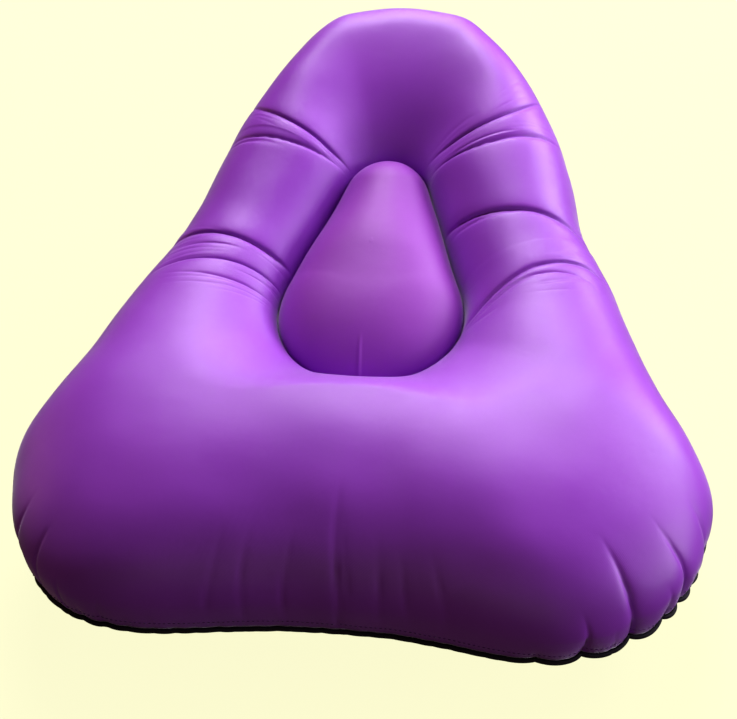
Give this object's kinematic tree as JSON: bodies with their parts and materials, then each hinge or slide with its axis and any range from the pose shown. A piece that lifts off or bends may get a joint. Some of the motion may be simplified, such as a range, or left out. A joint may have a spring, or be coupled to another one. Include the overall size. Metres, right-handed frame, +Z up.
{
  "type": "wobble cushion",
  "caption": "Inflatable wedge seat cushion with a rounded triangular ring, a pear-shaped centre pad, zipped piped cover and rear air valve.",
  "frame": {"origin": "on the floor under the middle of the cushion's bounding box", "axes": "+Z up, -Y towards the wide front edge that rests on the floor, +Y towards the raised narrow rear end, +X to the right seen from the front"},
  "size_m": [0.4492, 0.4914, 0.183],
  "materials": {
    "cover_fabric": "satin stretch knit",
    "centre_fabric": "satin stretch knit",
    "binding_fabric": "matt woven tape",
    "base_fabric": "matt dark knit",
    "piping_fabric": "matt corded trim",
    "air_film": "translucent vinyl film",
    "tube_vinyl": "soft vinyl",
    "eyelet_metal": "dark enamel",
    "valve_vinyl": "soft moulded vinyl",
    "flap_rubber": "soft rubber",
    "cap_vinyl": "soft moulded vinyl",
    "zip_tape": "woven tape",
    "zip_teeth": "moulded acetal",
    "zip_metal": "dark enamel"
  },
  "bodies": {
    "cushion": {"cover_top_panel": "cover_fabric", "cover_centre_panel": "centre_fabric", "groove_binding": "binding_fabric", "cover_bottom_panel": "base_fabric", "edge_piping": "piping_fabric", "ring_air_cell": "air_film", "pad_air_cell": "air_film", "link_tube": "tube_vinyl", "valve_eyelet": "eyelet_metal", "valve_base": "valve_vinyl", "valve_strap": "valve_vinyl", "zip_tape_front": "zip_tape", "zip_tape_rear": "zip_tape", "zip_teeth_front": "zip_teeth", "zip_teeth_rear": "zip_teeth", "zip_stop_left": "zip_metal", "zip_stop_right": "zip_metal"},
    "valve_cap": {"valve_cap": "cap_vinyl"},
    "check_flap": {"check_flap": "flap_rubber"},
    "zip_slider": {"zip_slider": "zip_metal"},
    "zip_pull": {"zip_pull": "zip_metal"}
  },
  "joints": [
    {"name": "zip_slide", "type": "slide", "parent": "cushion", "child": "zip_slider", "axis": [1, 0, 0], "range_m": [0, 0.162]},
    {"name": "pull_swing", "type": "hinge", "parent": "zip_slider", "child": "zip_pull", "pos_m": [-0.081, 0.12119, 0.02608], "axis": [0, 0.9466, 0.3223], "range_deg": [-75, 75]},
    {"name": "cap_hinge", "type": "hinge", "parent": "cushion", "child": "valve_cap", "pos_m": [0, 0.244, 0.1445], "axis": [1, 0, 0], "range_deg": [0, 135]},
    {"name": "flap_hinge", "type": "hinge", "parent": "cushion", "child": "check_flap", "pos_m": [0, 0.2238, 0.1404], "axis": [-1, 0, 0], "range_deg": [0, 50]}
  ]
}
